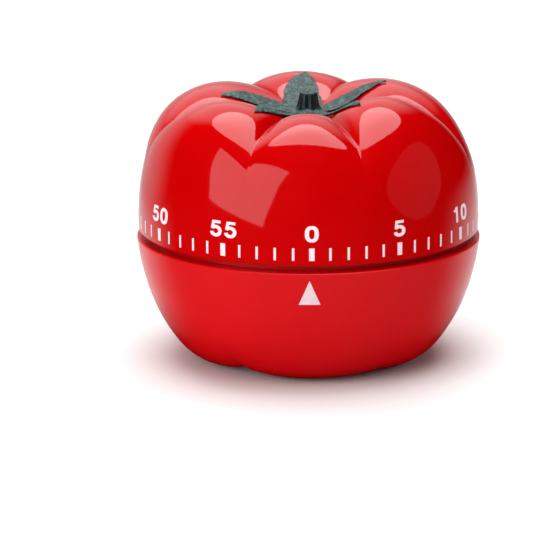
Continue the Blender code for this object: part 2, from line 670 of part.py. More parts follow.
def build_alarm(steel, brass, bell_mat):
    """Bell on its post, hammer with its pallet, and the lever that lets the hammer go."""
    skin = 0.9
    outer = [(1.3, BELL_TOP_Z), (8.0, 12.75), (12.5, 11.9), (15.6, 9.6), (BELL_R, BELL_RIM_Z)]
    inner = [(BELL_R - skin, BELL_RIM_Z), (14.8, 9.1), (12.0, 11.1), (8.0, 11.85),
             (1.3, BELL_TOP_Z - skin)]
    turned("bell", outer + inner, bell_mat, sides=36, closed=True)
    post_low = BELL_TOP_Z + FIT_GAP
    post = [(1.3, 15.2), (1.3, post_low), (2.2, post_low), (2.2, BOTTOM_PLATE_Z - FIT_GAP)]
    turned("bell_post", post, brass, sides=12)
    screw("bell_screw", CENTRE, 14.9, BELL_TOP_Z - skin - FIT_GAP, 0.9, 2.3, 1.2, steel)

    lever_arbor("hammer_arbor", HAMMER_P, 13.2, steel)
    arm = lever("hammer", [HAMMER_P, HAMMER_HEAD_P], 0.7, 13.6, 0.8, HAMMER_P, steel)
    head = turned("head", [(HAMMER_HEAD_R, 6.8), (HAMMER_HEAD_R, 14.0)], None,
                  HAMMER_HEAD_P, 14)
    boolean(arm, head, "UNION")
    toward = (STRIKE_P - HAMMER_P).normalized()
    reach = (STRIKE_P - HAMMER_P).length - STRIKE_R - 0.45
    lever("hammer_pallet", [HAMMER_P, HAMMER_P + toward * reach], 0.6, SECOND_Z, WHEEL_T,
          HAMMER_P, steel)

    lever_arbor("release_arbor", RELEASE_P, BOTTOM_PLATE_Z + PLATE_T + 0.2, steel)
    elbow = polar(CAM_R + 1.2, 172)
    tail = polar(11.4, 192)
    lever("release_lever", [RELEASE_P, elbow, tail], 0.6, CAM_Z, WHEEL_T, RELEASE_P, steel)


def main():
    clear_scene()
    red = material("red_dial_plastic", (0.62, 0.005, 0.008), 0.16)
    base_red = material("red_base_plastic", (0.70, 0.012, 0.016), 0.3)
    green = material("calyx_plastic", (0.045, 0.10, 0.095), 0.55)
    cover_mat = material("cover_plastic", (0.55, 0.012, 0.014), 0.4)
    steel = material("zinc_steel", (0.52, 0.53, 0.54), 0.35, 1.0)
    brass = material("brass", (0.72, 0.52, 0.22), 0.3, 1.0)
    spring_mat = material("spring_steel", (0.22, 0.24, 0.28), 0.3, 1.0)
    bell_mat = material("bell_steel", (0.70, 0.70, 0.71), 0.2, 1.0)

    build_dial_shell(red)
    build_base_shell(base_red)
    build_bottom_cover(cover_mat)
    build_calyx(green)
    build_plates(steel)
    build_frame_fasteners(steel, brass)
    build_main_arbor(steel, brass)
    build_mainspring(spring_mat, steel)
    build_train(brass, steel)
    build_escapement(steel, brass)
    build_alarm(steel, brass, bell_mat)


main()
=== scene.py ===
"""Looks of a tomato-shaped clockwork kitchen timer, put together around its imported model.

Sizes are millimetres from the table point under the dial's centre; -Y is the front and +Z
is up. Pieces are scaled to metres when they are made. Azimuths on the red shells are
counted from the front towards +X.
"""
import json
from math import cos, pi, radians, sin

import bmesh
import bpy
import numpy as np
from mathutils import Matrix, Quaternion, Vector, noise
from mathutils.bvhtree import BVHTree
from mathutils.geometry import delaunay_2d_cdt


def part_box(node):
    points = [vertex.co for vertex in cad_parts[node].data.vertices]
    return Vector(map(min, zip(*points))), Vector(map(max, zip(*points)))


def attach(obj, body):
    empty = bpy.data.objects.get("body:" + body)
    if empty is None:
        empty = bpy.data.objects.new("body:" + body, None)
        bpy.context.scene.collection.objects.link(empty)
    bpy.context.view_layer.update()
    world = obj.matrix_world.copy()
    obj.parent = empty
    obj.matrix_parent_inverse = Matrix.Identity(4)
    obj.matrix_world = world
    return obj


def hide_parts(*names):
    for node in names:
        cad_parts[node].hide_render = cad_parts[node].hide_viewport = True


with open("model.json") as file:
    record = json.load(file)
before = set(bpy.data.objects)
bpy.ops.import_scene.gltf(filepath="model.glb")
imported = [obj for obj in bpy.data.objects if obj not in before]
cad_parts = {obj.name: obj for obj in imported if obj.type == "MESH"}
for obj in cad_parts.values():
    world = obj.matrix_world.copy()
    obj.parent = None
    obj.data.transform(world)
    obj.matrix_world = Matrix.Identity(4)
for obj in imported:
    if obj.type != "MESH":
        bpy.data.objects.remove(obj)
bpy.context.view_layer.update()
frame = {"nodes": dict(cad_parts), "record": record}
nodes = frame["nodes"]


# ---------------------------------------------------------------- dial dome
# The upper shell is one thick-walled moulding in polished red plastic. Six uneven lobes
# meet in creases that run from its shoulder into the dimple under the calyx. Its boss
# is pushed on the flattened end of the main arbor, so the dome is the winding knob.
MM = 0.001
DIAL_EDGE_Z = 23.9
DIMPLE_Z = DIAL_EDGE_Z + 20.7
WALL = 1.8
DIAL_INSIDE_R = 29.4                           # inside of the edge
CREASES = ((-148, 0.75, -0.1), (-80, 1.0, 0.2), (-22, 1.0, -1.0), (20, 1.0, 0.9),
           (80, 0.9, 0.3), (157, 0.55, 0.1))   # azimuth, depth, height of the next lobe
BULGE_POWER = 0.52
CREASE_ROUNDING = 0.0012
CROWN_LEAN = -0.8
CROWN_FROM, CROWN_TO = 12.7, 25.2              # heights over which the crown takes shape
DIAL_CREST = ((31.2, 0.0), (31.15, 4.9), (30.7, 9.2), (30.0, 12.7), (28.8, 16.8),
              (26.7, 20.7), (24.0, 23.2), (20.5, 24.8), (17.0, 25.2), (13.5, 24.5),
              (10.0, 22.8), (6.0, 21.2), (2.4, 20.7))
DIAL_CREASE = ((31.2, 0.0), (31.15, 4.9), (30.7, 9.2), (29.9, 12.6), (28.5, 16.2),
               (26.0, 19.1), (22.8, 20.6), (19.0, 21.6), (15.8, 22.0), (12.6, 21.9),
               (9.5, 21.6), (6.0, 21.0), (2.4, 20.7))
ROWS_PER_SPAN = 7
COLUMNS_PER_LOBE = 44


def fair_curve(points, steps):
    """Curve with even curvature that runs from the first point to the last, close by all."""
    points = np.array(points, float)
    padded = np.vstack([2 * points[0] - points[1], points, 2 * points[-1] - points[-2]])
    drawn = (padded[:-2] + 4 * padded[1:-1] + padded[2:]) / 6
    control = points + 0.8 * (points - drawn)
    control = np.vstack([2 * control[0] - control[1], control, 2 * control[-1] - control[-2]])
    rows = []
    for i in range(len(points) - 1):
        c0, c1, c2, c3 = control[i:i + 4]
        for t in np.arange(steps) / steps:
            rows.append(((1 - t) ** 3 * c0 + (3 * t ** 3 - 6 * t ** 2 + 4) * c1
                         + (-3 * t ** 3 + 3 * t ** 2 + 3 * t + 1) * c2 + t ** 3 * c3) / 6)
    return np.array(rows + [points[-1]])


def lobe_columns():
    """Azimuth, bulge, crease depth and lobe height of every column of the dome."""
    table = []
    for k, (start, depth, height) in enumerate(CREASES):
        end, next_depth = CREASES[(k + 1) % len(CREASES)][:2]
        end += 360 * (k + 1 == len(CREASES))
        for i in range(COLUMNS_PER_LOBE):
            share = (1 - cos(pi * i / COLUMNS_PER_LOBE)) / 2
            low = CREASE_ROUNDING ** (BULGE_POWER / 2)
            bulge = (sin(pi * share) ** 2 + CREASE_ROUNDING) ** (BULGE_POWER / 2)
            table.append((radians(start + (end - start) * share), (bulge - low) / (1 - low),
                          depth + (next_depth - depth) * share, height))
    return np.array(table).T


def lobed_rows(crest, crease, crown):
    """Rows of points of a lobed shell; crown says how far each row follows the crown."""
    azimuth, bulge, depth, height = lobe_columns()
    keep = 1 - depth * (1 - bulge)
    rows = []
    for (r1, z1), (r0, z0), share in zip(crest, crease, crown):
        r = r0 + (r1 - r0) * keep + CROWN_LEAN * share * np.sin(azimuth)
        z = z0 + (z1 - z0) * keep + height * share * bulge + DIAL_EDGE_Z
        rows.append(np.stack([r * np.sin(azimuth), -r * np.cos(azimuth), z], 1))
    return rows


def round_row(radius, z, azimuth):
    return np.stack([radius * np.sin(azimuth), -radius * np.cos(azimuth),
                     np.zeros_like(azimuth) + z], 1)


def inset(profile, distance):
    """Profile moved square to itself."""
    along = np.gradient(profile, axis=0)
    along /= np.linalg.norm(along, axis=1)[:, None]
    return profile + distance * np.stack([-along[:, 1], along[:, 0]], 1)


def make_piece(name, points, faces, finish, sharp=32):
    """Mesh object in metres at the origin, with its normals pointing outwards."""
    bm = bmesh.new()
    verts = [bm.verts.new(Vector(p) * MM) for p in points]
    for face in faces:
        bm.faces.new([verts[i] for i in face])
    bmesh.ops.recalc_face_normals(bm, faces=bm.faces)
    mesh = bpy.data.meshes.new(name)
    bm.to_mesh(mesh)
    bm.free()
    mesh.shade_smooth()
    mesh.set_sharp_from_angle(angle=radians(sharp))
    mesh.materials.append(finish)
    piece = bpy.data.objects.new(name, mesh)
    bpy.context.scene.collection.objects.link(piece)
    return piece


def wrapped_skin(rows):
    """Points and faces of rows joined round and round into one closed wall."""
    count = len(rows[0])
    faces = []
    for j in range(len(rows)):
        a, b = j * count, (j + 1) % len(rows) * count
        faces += [(a + i, a + (i + 1) % count, b + (i + 1) % count, b + i)
                  for i in range(count)]
    return np.vstack(rows), faces


def node_chain(finish):
    """Shorthand that adds a node to a finish and sets its values by socket name."""
    tree = finish.node_tree

    def add(kind, values=None, **settings):
        node = tree.nodes.new(kind)
        for key, value in settings.items():
            setattr(node, key, value)
        for key, value in (values or {}).items():
            node.inputs[key].default_value = value
        return node
    return add, tree.links.new, tree.nodes["Principled BSDF"]


def colour_ramp(add, stops):
    ramp = add("ShaderNodeValToRGB")
    elements = ramp.color_ramp.elements
    while len(elements) < len(stops):
        elements.new(0.5)
    for element, (place, colour) in zip(elements, stops):
        element.position, element.color = place, (*colour, 1)
    return ramp


def moulded_plastic(name, colour, tint, gloss, grain, bump, shine=0.5):
    """Moulded plastic: faint clouding in the pigment, and a skin with a little ripple."""
    finish = bpy.data.materials.new(name)
    finish.use_nodes = True
    add, link, shader = node_chain(finish)
    place = add("ShaderNodeTexCoord").outputs["Object"]
    cloud = add("ShaderNodeTexNoise", {"Scale": 55.0, "Detail": 3.0})
    ripple = add("ShaderNodeTexNoise", {"Scale": grain, "Detail": 2.0})
    ramp = colour_ramp(add, ((0.35, colour), (0.7, tint)))
    rough = add("ShaderNodeMapRange", {"To Min": gloss * 0.85, "To Max": gloss * 1.2})
    skin = add("ShaderNodeBump", {"Strength": 0.2, "Distance": bump})
    link(place, cloud.inputs["Vector"])
    link(place, ripple.inputs["Vector"])
    link(cloud.outputs["Fac"], ramp.inputs["Fac"])
    link(ripple.outputs["Fac"], rough.inputs["Value"])
    link(ripple.outputs["Fac"], skin.inputs["Height"])
    link(ramp.outputs["Color"], shader.inputs["Base Color"])
    link(rough.outputs["Result"], shader.inputs["Roughness"])
    link(skin.outputs["Normal"], shader.inputs["Normal"])
    shader.inputs["Specular IOR Level"].default_value = shine
    return finish


dial_plastic = moulded_plastic("dial_red_plastic", (0.455, 0.0003, 0.0008),
                               (0.480, 0.0005, 0.0012), 0.06, 260.0, 0.00002)
crest_line, crease_line = (fair_curve(line, ROWS_PER_SPAN) for line in
                           (DIAL_CREST, DIAL_CREASE))
crown_marks = [(max(0.0, (z - CROWN_FROM) / (CROWN_TO - CROWN_FROM)) ** 0.6
                * min(1.0, max(0.0, (r - 6) / 10)), 0) for r, z in DIAL_CREST]
crown_line = fair_curve(crown_marks, ROWS_PER_SPAN)[:, 0]
dial_azimuths = lobe_columns()[0]

edge_round = [(30.85, 0.0), (31.08, 0.05), (31.19, 0.2)]
shell_rows = [round_row(r, DIAL_EDGE_Z + z, dial_azimuths) for r, z in edge_round]
shell_rows += lobed_rows(crest_line[1:], crease_line[1:], crown_line[1:])
boss = ((1.7, DIMPLE_Z), (1.7, 41.6), (1.9, 41.6), (1.9, 37.6), (4.2, 37.6),
        (4.2, DIMPLE_Z - WALL))
shell_rows += [round_row(r, z, dial_azimuths) for r, z in boss]
inner_rows = lobed_rows(inset(crest_line, WALL), inset(crease_line, WALL), crown_line)
shell_rows += inner_rows[4:-14:4][::-1]         # coarser, and short of the boss and the edge
shell_rows.append(round_row(DIAL_INSIDE_R, DIAL_EDGE_Z, dial_azimuths))
dome = make_piece("dial_dome", *wrapped_skin(shell_rows), dial_plastic)
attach(dome, "dial")
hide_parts("dial_shell")


# ---------------------------------------------------------------- printing on the dial
# Pad printing in off-white ink, round the lower edge of the dome: a mark every minute,
# a broad one every five, and the minutes from 0 to 55 above the broad marks. The ink is a
# film a few hundredths of a millimetre thick.
INK_STANDS = 0.03
INK_ROOT = 0.12
MARK_RADIUS = 31.19
MARK_BOTTOM, MARK_HEIGHT = 1.0, 2.25
BROAD_MARK, FINE_MARK = 0.95, 0.42
ZERO_AZ = 1.1
NUMBER_BOTTOM, NUMBER_HEIGHT = 4.35, 2.85
FIGURE_MIDDLE, FIGURE_BREADTH, FIGURE_STEP = 0.35, 1.2, 0.86
# The strokes of each figure, as points on its middle line and a width, where 1 is its height.
FIGURE_STROKES = {
    "0": [(((0.35, 0.915), (0.22, 0.88), (0.13, 0.76), (0.105, 0.60), (0.10, 0.50),
            (0.105, 0.40), (0.13, 0.24), (0.22, 0.12), (0.35, 0.085)), 0.215),
          (((0.35, 0.915), (0.48, 0.88), (0.57, 0.76), (0.595, 0.60), (0.60, 0.50),
            (0.595, 0.40), (0.57, 0.24), (0.48, 0.12), (0.35, 0.085)), 0.215)],
    "1": [(((0.42, 0.0), (0.42, 1.0)), 0.2),
          (((0.12, 0.76), (0.22, 0.77), (0.31, 0.82), (0.38, 0.94)), 0.14)],
    "2": [(((0.11, 0.66), (0.14, 0.79), (0.22, 0.88), (0.35, 0.915), (0.49, 0.88),
            (0.575, 0.78), (0.56, 0.65), (0.46, 0.50), (0.32, 0.37), (0.20, 0.24),
            (0.13, 0.09)), 0.205),
          (((0.03, 0.085), (0.68, 0.085)), 0.17)],
    "3": [(((0.11, 0.69), (0.14, 0.81), (0.22, 0.89), (0.34, 0.915), (0.47, 0.88),
            (0.55, 0.78), (0.53, 0.65), (0.44, 0.57), (0.28, 0.545)), 0.2),
          (((0.28, 0.545), (0.46, 0.52), (0.57, 0.43), (0.59, 0.28), (0.51, 0.15),
            (0.35, 0.085), (0.20, 0.12), (0.11, 0.20), (0.085, 0.31)), 0.2)],
    "4": [(((0.52, 0.0), (0.52, 1.0)), 0.205), (((0.0, 0.27), (0.69, 0.27)), 0.16),
          (((0.48, 0.93), (0.07, 0.29)), 0.15)],
    "5": [(((0.13, 0.915), (0.62, 0.915)), 0.17), (((0.20, 0.96), (0.13, 0.48)), 0.16),
          (((0.12, 0.52), (0.22, 0.59), (0.35, 0.615), (0.49, 0.57), (0.585, 0.46),
            (0.60, 0.31), (0.54, 0.17), (0.43, 0.10), (0.33, 0.085), (0.20, 0.12),
            (0.12, 0.20), (0.09, 0.29)), 0.2)],
}


def ink_finish(name, colour):
    """Screen ink: flat off-white with a faint mottle where the film is thin."""
    finish = bpy.data.materials.new(name)
    finish.use_nodes = True
    add, link, shader = node_chain(finish)
    mottle = add("ShaderNodeTexNoise", {"Scale": 2500.0, "Detail": 2.0})
    thin = tuple(c * t for c, t in zip(colour, (0.97, 0.86, 0.87)))
    ramp = colour_ramp(add, ((0.3, thin), (0.6, colour)))
    link(add("ShaderNodeTexCoord").outputs["Object"], mottle.inputs["Vector"])
    link(mottle.outputs["Fac"], ramp.inputs["Fac"])
    link(ramp.outputs["Color"], shader.inputs["Base Color"])
    shader.inputs["Roughness"].default_value = 0.45
    return finish


def new_tree(name, inputs):
    """Empty geometry tree with named number inputs; returns it and its group input."""
    tree = bpy.data.node_groups.new(name, "GeometryNodeTree")
    for label, kind, value in inputs:
        socket = tree.interface.new_socket(label, in_out="INPUT", socket_type=kind)
        socket.default_value = value
    tree.interface.new_socket("Geometry", in_out="OUTPUT", socket_type="NodeSocketGeometry")
    return tree, tree.nodes.new("NodeGroupInput")


def tree_math(tree, operation, *values):
    """Math node whose inputs are numbers or sockets; returns its output."""
    node = tree.nodes.new("ShaderNodeMath")
    node.operation = operation
    for slot, value in zip(node.inputs, values):
        if isinstance(value, (int, float)):
            slot.default_value = value
        else:
            tree.links.new(value, slot)
    return node.outputs[0]


def tree_vector(tree, *values):
    node = tree.nodes.new("ShaderNodeCombineXYZ")
    for slot, value in zip(node.inputs, values):
        if isinstance(value, (int, float)):
            slot.default_value = value
        else:
            tree.links.new(value, slot)
    return node.outputs[0]


def close_tree(tree, geometry, finish):
    """Ends a tree in real geometry that carries its finish."""
    realize = tree.nodes.new("GeometryNodeRealizeInstances")
    paint = tree.nodes.new("GeometryNodeSetMaterial")
    paint.inputs["Material"].default_value = finish
    output = tree.nodes.new("NodeGroupOutput")
    tree.links.new(geometry, realize.inputs[0])
    tree.links.new(realize.outputs[0], paint.inputs["Geometry"])
    tree.links.new(paint.outputs[0], output.inputs[0])


def grow(name, tree, sizes):
    """Runs a tree once and keeps what it makes as a plain mesh piece."""
    piece = bpy.data.objects.new(name, bpy.data.meshes.new(name))
    bpy.context.scene.collection.objects.link(piece)
    modifier = piece.modifiers.new("Tree", "NODES")
    modifier.node_group = tree
    for item in tree.interface.items_tree:
        if item.in_out == "INPUT" and item.name in sizes:
            modifier[item.identifier] = sizes[item.name]
    bpy.context.view_layer.update()
    made = piece.evaluated_get(bpy.context.evaluated_depsgraph_get())
    mesh = bpy.data.meshes.new_from_object(made)
    piece.modifiers.clear()
    piece.data = mesh
    return piece


def ring_points(tree, given, height):
    """Points at even steps round a circle, each one's turn, and its number."""
    index = tree.nodes.new("GeometryNodeInputIndex").outputs[0]
    step = tree_math(tree, "DIVIDE", 2 * pi, given.outputs["Count"])
    angle = tree_math(tree, "MULTIPLY_ADD", index, step, given.outputs["Start"])
    x = tree_math(tree, "MULTIPLY", tree_math(tree, "SINE", angle), given.outputs["Radius"])
    y = tree_math(tree, "MULTIPLY", tree_math(tree, "COSINE", angle), given.outputs["Radius"])
    back = tree_math(tree, "MULTIPLY", y, -1.0)
    points = tree.nodes.new("GeometryNodePoints")
    facing = tree.nodes.new("FunctionNodeEulerToRotation")
    tree.links.new(given.outputs["Count"], points.inputs["Count"])
    tree.links.new(tree_vector(tree, x, back, height), points.inputs["Position"])
    tree.links.new(tree_vector(tree, 0.0, 0.0, angle), facing.inputs[0])
    return points.outputs[0], facing.outputs[0], index


def minute_marks_tree(finish):
    """Upright bars at even steps round a circle, every fifth one broad."""
    tree, given = new_tree("minute_marks", (
        ("Count", "NodeSocketInt", 60), ("Start", "NodeSocketFloat", 0.0),
        ("Radius", "NodeSocketFloat", 0.03), ("Middle", "NodeSocketFloat", 0.0),
        ("Height", "NodeSocketFloat", 0.002), ("Depth", "NodeSocketFloat", 0.0001),
        ("Broad", "NodeSocketFloat", 0.001), ("Fine", "NodeSocketFloat", 0.0005)))
    points, facing, index = ring_points(tree, given, given.outputs["Middle"])
    fifth = tree_math(tree, "LESS_THAN", tree_math(tree, "MODULO", index, 5.0), 0.5)
    other = tree_math(tree, "SUBTRACT", 1.0, fifth)
    join = tree.nodes.new("GeometryNodeJoinGeometry")
    for width, chosen in (("Broad", fifth), ("Fine", other)):
        bar = tree.nodes.new("GeometryNodeMeshCube")
        tree.links.new(tree_vector(tree, given.outputs[width], given.outputs["Depth"],
                                   given.outputs["Height"]), bar.inputs["Size"])
        place = tree.nodes.new("GeometryNodeInstanceOnPoints")
        tree.links.new(points, place.inputs["Points"])
        tree.links.new(chosen, place.inputs["Selection"])
        tree.links.new(bar.outputs[0], place.inputs["Instance"])
        tree.links.new(facing, place.inputs["Rotation"])
        tree.links.new(place.outputs[0], join.inputs[0])
    close_tree(tree, join.outputs[0], finish)
    return tree


def profile_radius(line, base_z, z):
    """Radius of a turned surface at a height."""
    order = np.argsort(line[:, 1])
    return float(np.interp(z - base_z, line[order, 1], line[order, 0]))


def profile_rise(line, start, lengths):
    """Heights reached by going given lengths up a turned surface from a start height."""
    order = np.argsort(line[:, 1])
    r, z = line[order, 0], line[order, 1]
    run = np.concatenate([[0], np.cumsum(np.hypot(np.diff(r), np.diff(z)))])
    return np.interp(np.interp(start, z, run) + np.asarray(lengths), run, z)


def lowest_first(ring):
    """The same ring of numbers, started at its lowest."""
    start = ring.index(min(ring))
    return ring[start:] + ring[:start]


def wrap_print(name, flat, line, base_z, azimuth, bottom, finish):
    """Lays a flat drawing (a bmesh in millimetres) on a turned surface as a film of ink."""
    for axis, step in ((0, 0.35), (1, 0.5)):
        low = min(v.co[axis] for v in flat.verts)
        high = max(v.co[axis] for v in flat.verts)
        for cut in np.arange(low + step, high - step * 0.3, step):
            point, normal = Vector(), Vector()
            point[axis], normal[axis] = cut, 1.0
            bmesh.ops.bisect_plane(flat, geom=flat.verts[:] + flat.edges[:] + flat.faces[:],
                                   plane_co=point, plane_no=normal, dist=1e-5)
    front = set(flat.verts)
    bmesh.ops.extrude_face_region(flat, geom=flat.faces[:], use_keep_orig=True)
    for v in flat.verts:
        x, y = v.co.x, v.co.y
        z = float(profile_rise(line, bottom, y))
        r = profile_radius(line, 0.0, z) + (INK_STANDS if v in front else -INK_ROOT)
        angle = radians(azimuth) + x / r
        v.co = Vector((r * sin(angle), -r * cos(angle), base_z + z))
    # The mesh operators leave the order of their output to chance, so it is set here.
    order = sorted(flat.verts, key=lambda v: tuple(v.co))
    rank = {v: i for i, v in enumerate(order)}
    points = [v.co.copy() for v in order]
    faces = sorted(lowest_first([rank[v] for v in f.verts]) for f in flat.faces)
    flat.free()
    return make_piece(name, points, faces, finish, sharp=40)


def ribbon(path, width):
    """Quads that follow a line of points at a constant width, with square ends."""
    path = np.array(path, float)
    along = np.gradient(path, axis=0)
    along /= np.linalg.norm(along, axis=1)[:, None]
    side = np.stack([-along[:, 1], along[:, 0]], 1) * width / 2
    left, right = path + side, path - side
    return [(left[i], right[i], right[i + 1], left[i + 1]) for i in range(len(path) - 1)]


def number_drawing(text):
    """Bold figures as a flat bmesh in millimetres, centred, standing on y = 0."""
    quads = []
    for place, figure in enumerate(text):
        shift = (place - (len(text) - 1) / 2) * FIGURE_STEP
        for points, width in FIGURE_STROKES[figure]:
            path = fair_curve(points, 5) if len(points) > 2 else np.array(points)
            for quad in ribbon(path, width):
                quads.append([((x - FIGURE_MIDDLE + shift) * FIGURE_BREADTH * NUMBER_HEIGHT,
                               y * NUMBER_HEIGHT) for x, y in quad])
    corners = [Vector(p) for quad in quads for p in quad]
    rings = [tuple(range(4 * i, 4 * i + 4)) for i in range(len(quads))]
    points, _, faces, _, _, sources = delaunay_2d_cdt(corners, [], rings, 0, 1e-4)
    flat = bmesh.new()
    verts = [flat.verts.new((p.x, p.y, 0)) for p in points]
    for face, source in zip(faces, sources):
        if source:
            flat.faces.new([verts[i] for i in face])
    loose = [v for v in flat.verts if not v.link_faces]
    bmesh.ops.delete(flat, geom=loose, context="VERTS")
    bmesh.ops.dissolve_limit(flat, angle_limit=0.01, verts=flat.verts, edges=flat.edges)
    bmesh.ops.triangulate(flat, faces=flat.faces)
    return flat


dial_ink = ink_finish("dial_ink", (0.80, 0.70, 0.73))
marks = grow("minute_marks", minute_marks_tree(dial_ink), {
    "Start": radians(ZERO_AZ), "Radius": (MARK_RADIUS + INK_STANDS - INK_ROOT) * MM,
    "Middle": (DIAL_EDGE_Z + MARK_BOTTOM + MARK_HEIGHT / 2) * MM, "Height": MARK_HEIGHT * MM,
    "Depth": 2 * INK_ROOT * MM, "Broad": BROAD_MARK * MM, "Fine": FINE_MARK * MM})
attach(marks, "dial")
for minutes in range(0, 60, 5):
    number = wrap_print(f"minutes_{minutes:02d}", number_drawing(str(minutes)), crest_line,
                        DIAL_EDGE_Z, ZERO_AZ + minutes * 6, NUMBER_BOTTOM, dial_ink)
    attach(number, "dial")


# ---------------------------------------------------------------- base bowl
# The lower shell is a satin red moulding that the timer stands on. It has a foot ring, five
# shallow lobes underneath, a thin collar that runs up inside the dome, three posts for the
# movement, and a seat for the cover. The pointer is a printed triangle under the seam.
BASE_OUTER = ((31.5, 22.6), (31.1, 19.5), (30.4, 16.3), (29.4, 12.8), (27.8, 8.9),
              (25.4, 4.9), (23.2, 2.2), (20.6, 0.5), (18.2, 0.0))
BASE_COLUMNS = 240
BASE_CREASES = ((-35, 1.6), (37, 0.6), (109, 1.1), (181, 1.3), (253, 1.0))   # azimuth, depth
BASE_CREASE_SPAN = 72                           # azimuth from one crease to the next
BASE_CREASE_HIGH = 8.0                          # the creases run out at this height
POST_R, POST_ROOT_Z, POST_GAP = 1.9, 3.9, 0.3   # moulded posts that carry the movement
POST_HOLE_R, POST_HOLE_Z = 1.0, 11.0           # blind hole from the top of a post
POINTER_AZ, POINTER_TIP_Z = 0.4, 21.3
POINTER_WIDTH, POINTER_LENGTH = 3.85, 4.6


def base_grooves(azimuth):
    """Depth of the creases in the underside at each azimuth, where they are deepest."""
    groove = np.zeros_like(azimuth)
    for middle, depth in BASE_CREASES:
        away = np.abs((np.degrees(azimuth) - middle + 180) % 360 - 180) / BASE_CREASE_SPAN
        groove += depth * (1 - np.sin(pi * np.clip(away, 0, 0.5)) ** 0.5)
    return groove


def base_rows(line, azimuth):
    """Rows of the bowl's outside, with creases cut in between the lobes underneath."""
    groove = base_grooves(azimuth)
    along = np.gradient(line, axis=0)
    along /= np.linalg.norm(along, axis=1)[:, None]
    rows = []
    for (r, z), (dr, dz) in zip(line, along):
        cut = groove * np.clip(1 - z / BASE_CREASE_HIGH, 0, 1) ** 1.3
        radius, height = r + dz * cut, z - dr * cut
        rows.append(np.stack([radius * np.sin(azimuth), -radius * np.cos(azimuth), height],
                             1))
    return rows


base_plastic = moulded_plastic("base_red_plastic", (0.55, 0.0006, 0.0028),
                               (0.59, 0.0010, 0.0040), 0.24, 900.0, 0.00004, shine=0.28)
base_line = fair_curve(BASE_OUTER, 8)
base_azimuths = np.radians(np.arange(BASE_COLUMNS) * 360 / BASE_COLUMNS)
rim_round = [(30.95, 22.6), (31.3, 22.56), (31.46, 22.4)]
bowl_rows = [round_row(r, z, base_azimuths) for r, z in rim_round]
bowl_rows += base_rows(base_line[1:], base_azimuths)
foot_inside = ((16.95, 0.0), (16.8, 0.15))
bowl_rows += [round_row(r, z + base_grooves(base_azimuths), base_azimuths)
              for r, z in foot_inside]
seat = ((16.8, 2.4), (13.4, 2.4), (13.4, 4.4), (21.4, 4.4))
bowl_rows += [round_row(r, z, base_azimuths) for r, z in seat]
bowl_in = inset(np.array(BASE_OUTER), -WALL)[1:6][::-1]
bowl_rows += [round_row(r, z, base_azimuths) for r, z in bowl_in]
collar = ((27.5, 20.8), (27.5, 26.4), (29.0, 26.4), (29.0, 22.75), (29.15, 22.6))
bowl_rows += [round_row(r, z, base_azimuths) for r, z in collar]
bowl_points, bowl_faces = wrapped_skin(bowl_rows)
post_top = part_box("bottom_plate")[0][2] / MM - POST_GAP
for k in (1, 2, 3):
    low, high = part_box(f"movement_screw_{k}")
    centre = np.array((low[0] + high[0], low[1] + high[1], 0.0)) / 2 / MM
    post_turns = np.radians(np.arange(0, 360, 15))
    post = ((POST_R, POST_ROOT_Z), (POST_R, post_top - 0.2), (POST_R - 0.2, post_top),
            (POST_HOLE_R, post_top), (POST_HOLE_R, POST_HOLE_Z), (0.1, POST_HOLE_Z),
            (0.1, POST_ROOT_Z))
    post_rows = [round_row(r, z, post_turns) + centre for r, z in post]
    post_points, post_faces = wrapped_skin(post_rows)
    bowl_faces += [tuple(i + len(bowl_points) for i in face) for face in post_faces]
    bowl_points = np.vstack([bowl_points, post_points])
bowl = make_piece("base_bowl", bowl_points, bowl_faces, base_plastic)
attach(bowl, "base")
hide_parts("base_shell")

triangle = bmesh.new()
corners = ((-POINTER_WIDTH / 2, 0), (POINTER_WIDTH / 2, 0), (0, POINTER_LENGTH))
triangle.faces.new([triangle.verts.new((x, y, 0)) for x, y in corners])
pointer_ink = ink_finish("pointer_ink", (0.74, 0.58, 0.64))
pointer = wrap_print("pointer_mark", triangle, base_line, 0.0, POINTER_AZ,
                     POINTER_TIP_Z - POINTER_LENGTH * 0.98, pointer_ink)
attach(pointer, "base")


# ---------------------------------------------------------------- calyx and stem
# One soft moulding in dark green: five sepals round a fluted, glossy stub of stem, pegged and
# glued in the dome's dimple. The sepals lie over the lobes, with a raised midrib, thin edges
# and a wrinkled, mottled upper face.
SEPALS = ((-169, 16.4, 3.6, -9), (127, 15.8, 2.3, -12), (37, 16.4, 2.2, -3),
          (-36, 17.9, 2.2, 4), (-114, 16.0, 2.9, 22))   # azimuth, length, half width, bend
SEPAL_REST = 0.12                              # air under a sepal
SEPAL_THICK = 0.62
STEM_TOP = DIMPLE_Z + 4.2
STEM_SIDES, FLUTE_DEPTH = 60, 0.4
STEM_GLOSS_R, STEM_GLOSS_Z = (2.3, 2.7), (0.9, 1.7)   # where the stem's gloss fades in
PEG_R = 1.3
VOXEL = 0.17


def dome_heights():
    """Function giving the height of the dome's outside above a point, eased over creases."""
    points = [Vector(v.co) / MM for v in dome.data.vertices]
    tree = BVHTree.FromPolygons(points, [tuple(p.vertices) for p in dome.data.polygons])

    def drop(x, y):
        hit = tree.ray_cast(Vector((x, y, 70.0)), Vector((0, 0, -1)))[0]
        return hit.z if hit and hit.z > 35 else DIMPLE_Z

    def height(x, y, spread=1.5):
        around = [drop(x + spread * cos(a), y + spread * sin(a))
                  for a in (0.0, pi / 3, 2 * pi / 3, pi, 4 * pi / 3, 5 * pi / 3)]
        return max(drop(x, y), sum(around) / len(around))
    return height


dome_top = dome_heights()


